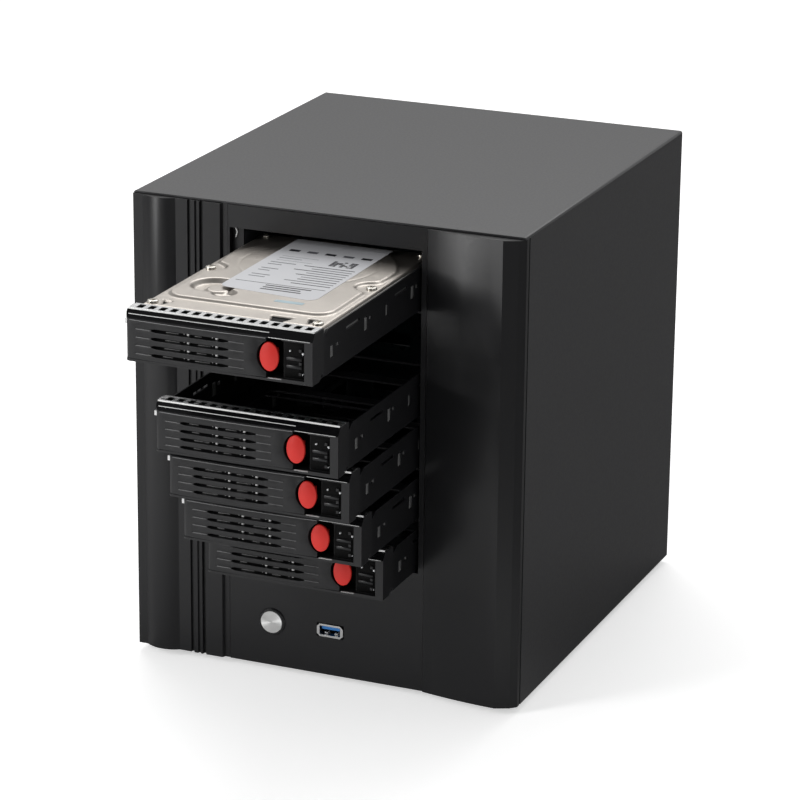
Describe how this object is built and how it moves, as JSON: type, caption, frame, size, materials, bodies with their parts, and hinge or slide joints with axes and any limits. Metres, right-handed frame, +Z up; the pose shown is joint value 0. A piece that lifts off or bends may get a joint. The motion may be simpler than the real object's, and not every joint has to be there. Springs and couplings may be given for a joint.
{
  "type": "network attached storage",
  "caption": "Desktop storage tower with hot-swap drive trays pulled out in steps, one drive, rear fan, power supply and board inside.",
  "frame": {"origin": "on the desk under the middle of the case, without the pulled-out trays", "axes": "+X to the right seen from the front, +Y towards the back, +Z up"},
  "size_m": [0.23, 0.3983, 0.27],
  "materials": {
    "case_steel": "satin powder coat",
    "bezel_plastic": "fine grain",
    "cage_steel": "satin black",
    "inner_steel": "zinc plated",
    "tray_steel": "satin black",
    "tray_plastic": "satin black",
    "release_red": "satin",
    "strip_chrome": "bright",
    "guide_plastic": "satin",
    "circuit_board": "solder mask",
    "socket_plastic": "satin",
    "fan_plastic": "satin",
    "wire_chrome": "bright",
    "psu_steel": "plated",
    "drive_cover_metal": "satin",
    "drive_casting": "cast, machined",
    "label_paper": "matt",
    "platter_mirror": "mirror",
    "screw_steel": "bright",
    "heatsink_aluminium": "anodised",
    "button_aluminium": "spun",
    "ring_metal": "satin black",
    "usb_metal": "bright",
    "usb_blue": "gloss",
    "foot_rubber": "matt"
  },
  "bodies": {
    "chassis": {"base_pan": "case_steel", "front_plate": "cage_steel", "rear_panel": "case_steel", "cover_shell": "case_steel", "front_bezel": "bezel_plastic", "rubber_feet": "foot_rubber", "cage_left_wall": "cage_steel", "cage_right_wall": "cage_steel", "cage_floor": "cage_steel", "cage_top": "cage_steel", "bay_guides": "guide_plastic", "backplane_board": "circuit_board", "backplane_sockets": "socket_plastic", "fan_frame": "fan_plastic", "fan_guard": "wire_chrome", "psu_case": "psu_steel", "mains_inlet": "socket_plastic", "mainboard": "circuit_board", "cpu_heatsink": "heatsink_aluminium", "io_sockets": "psu_steel", "io_shield": "inner_steel", "power_ring": "ring_metal", "usb_shell": "usb_metal", "usb_tongue": "usb_blue", "case_screws": "screw_steel"},
    "fan": {"fan_rotor": "fan_plastic"},
    "psu_fan": {"psu_fan_rotor": "fan_plastic"},
    "power_cap": {"power_button": "button_aluminium"},
    "tray_1": {"tray_1_sled": "tray_steel", "tray_1_frame": "tray_plastic", "tray_1_strip": "strip_chrome", "drive_base": "drive_casting", "drive_board": "circuit_board", "drive_cover": "drive_cover_metal", "drive_label": "label_paper", "drive_screws": "screw_steel"},
    "tray_1_lever_arm": {"tray_1_lever": "tray_plastic"},
    "tray_1_release_button": {"tray_1_release": "release_red"},
    "tray_2": {"tray_2_sled": "tray_steel", "tray_2_frame": "tray_plastic", "tray_2_strip": "strip_chrome"},
    "tray_2_lever_arm": {"tray_2_lever": "tray_plastic"},
    "tray_2_release_button": {"tray_2_release": "release_red"},
    "tray_3": {"tray_3_sled": "tray_steel", "tray_3_frame": "tray_plastic", "tray_3_strip": "strip_chrome"},
    "tray_3_lever_arm": {"tray_3_lever": "tray_plastic"},
    "tray_3_release_button": {"tray_3_release": "release_red"},
    "tray_4": {"tray_4_sled": "tray_steel", "tray_4_frame": "tray_plastic", "tray_4_strip": "strip_chrome"},
    "tray_4_lever_arm": {"tray_4_lever": "tray_plastic"},
    "tray_4_release_button": {"tray_4_release": "release_red"},
    "tray_5": {"tray_5_sled": "tray_steel", "tray_5_frame": "tray_plastic", "tray_5_strip": "strip_chrome"},
    "tray_5_lever_arm": {"tray_5_lever": "tray_plastic"},
    "tray_5_release_button": {"tray_5_release": "release_red"},
    "platters": {"drive_platters": "platter_mirror"},
    "head_arm": {"drive_arm": "drive_casting"}
  },
  "joints": [
    {"name": "fan_spin", "type": "hinge", "parent": "chassis", "child": "fan", "pos_m": [0.0027, 0.11, 0.164], "axis": [0, 1, 0], "continuous": true},
    {"name": "psu_fan_spin", "type": "hinge", "parent": "chassis", "child": "psu_fan", "pos_m": [-0.0163, 0.115, 0.02525], "axis": [0, 1, 0], "continuous": true},
    {"name": "power_press", "type": "slide", "parent": "chassis", "child": "power_cap", "axis": [0, 1, 0], "range_m": [0, 0.0015], "stiffness_N_per_m": 400, "springref_m": -0.001},
    {"name": "tray_1_slide", "type": "slide", "parent": "chassis", "child": "tray_1", "axis": [0, -1, 0], "range_m": [-0.136, 0.012]},
    {"name": "tray_1_lever_swing", "type": "hinge", "parent": "tray_1", "child": "tray_1_lever_arm", "pos_m": [-0.04525, -0.2646, 0.2338], "axis": [0, 0, -1], "range_deg": [0, 60]},
    {"name": "tray_1_release_press", "type": "slide", "parent": "tray_1", "child": "tray_1_release_button", "axis": [0, 1, 0], "range_m": [0, 0.002], "stiffness_N_per_m": 300, "springref_m": -0.001},
    {"name": "tray_2_slide", "type": "slide", "parent": "chassis", "child": "tray_2", "axis": [0, -1, 0], "range_m": [-0.104, 0.044]},
    {"name": "tray_2_lever_swing", "type": "hinge", "parent": "tray_2", "child": "tray_2_lever_arm", "pos_m": [-0.04525, -0.2326, 0.1746], "axis": [0, 0, -1], "range_deg": [0, 60]},
    {"name": "tray_2_release_press", "type": "slide", "parent": "tray_2", "child": "tray_2_release_button", "axis": [0, 1, 0], "range_m": [0, 0.002], "stiffness_N_per_m": 300, "springref_m": -0.001},
    {"name": "tray_3_slide", "type": "slide", "parent": "chassis", "child": "tray_3", "axis": [0, -1, 0], "range_m": [-0.0893, 0.0587]},
    {"name": "tray_3_lever_swing", "type": "hinge", "parent": "tray_3", "child": "tray_3_lever_arm", "pos_m": [-0.04525, -0.2179, 0.145], "axis": [0, 0, -1], "range_deg": [0, 60]},
    {"name": "tray_3_release_press", "type": "slide", "parent": "tray_3", "child": "tray_3_release_button", "axis": [0, 1, 0], "range_m": [0, 0.002], "stiffness_N_per_m": 300, "springref_m": -0.001},
    {"name": "tray_4_slide", "type": "slide", "parent": "chassis", "child": "tray_4", "axis": [0, -1, 0], "range_m": [-0.073, 0.075]},
    {"name": "tray_4_lever_swing", "type": "hinge", "parent": "tray_4", "child": "tray_4_lever_arm", "pos_m": [-0.04525, -0.2016, 0.1154], "axis": [0, 0, -1], "range_deg": [0, 60]},
    {"name": "tray_4_release_press", "type": "slide", "parent": "tray_4", "child": "tray_4_release_button", "axis": [0, 1, 0], "range_m": [0, 0.002], "stiffness_N_per_m": 300, "springref_m": -0.001},
    {"name": "tray_5_slide", "type": "slide", "parent": "chassis", "child": "tray_5", "axis": [0, -1, 0], "range_m": [-0.0437, 0.1043]},
    {"name": "tray_5_lever_swing", "type": "hinge", "parent": "tray_5", "child": "tray_5_lever_arm", "pos_m": [-0.04525, -0.1723, 0.0858], "axis": [0, 0, -1], "range_deg": [0, 60]},
    {"name": "tray_5_release_press", "type": "slide", "parent": "tray_5", "child": "tray_5_release_button", "axis": [0, 1, 0], "range_m": [0, 0.002], "stiffness_N_per_m": 300, "springref_m": -0.001},
    {"name": "platter_spin", "type": "hinge", "parent": "tray_1", "child": "platters", "pos_m": [0.0027, -0.157, 0.2364], "axis": [0, 0, 1], "continuous": true},
    {"name": "head_swing", "type": "hinge", "parent": "tray_1", "child": "head_arm", "pos_m": [-0.0286, -0.2135, 0.2364], "axis": [0, 0, 1], "range_deg": [-28, 10]}
  ]
}
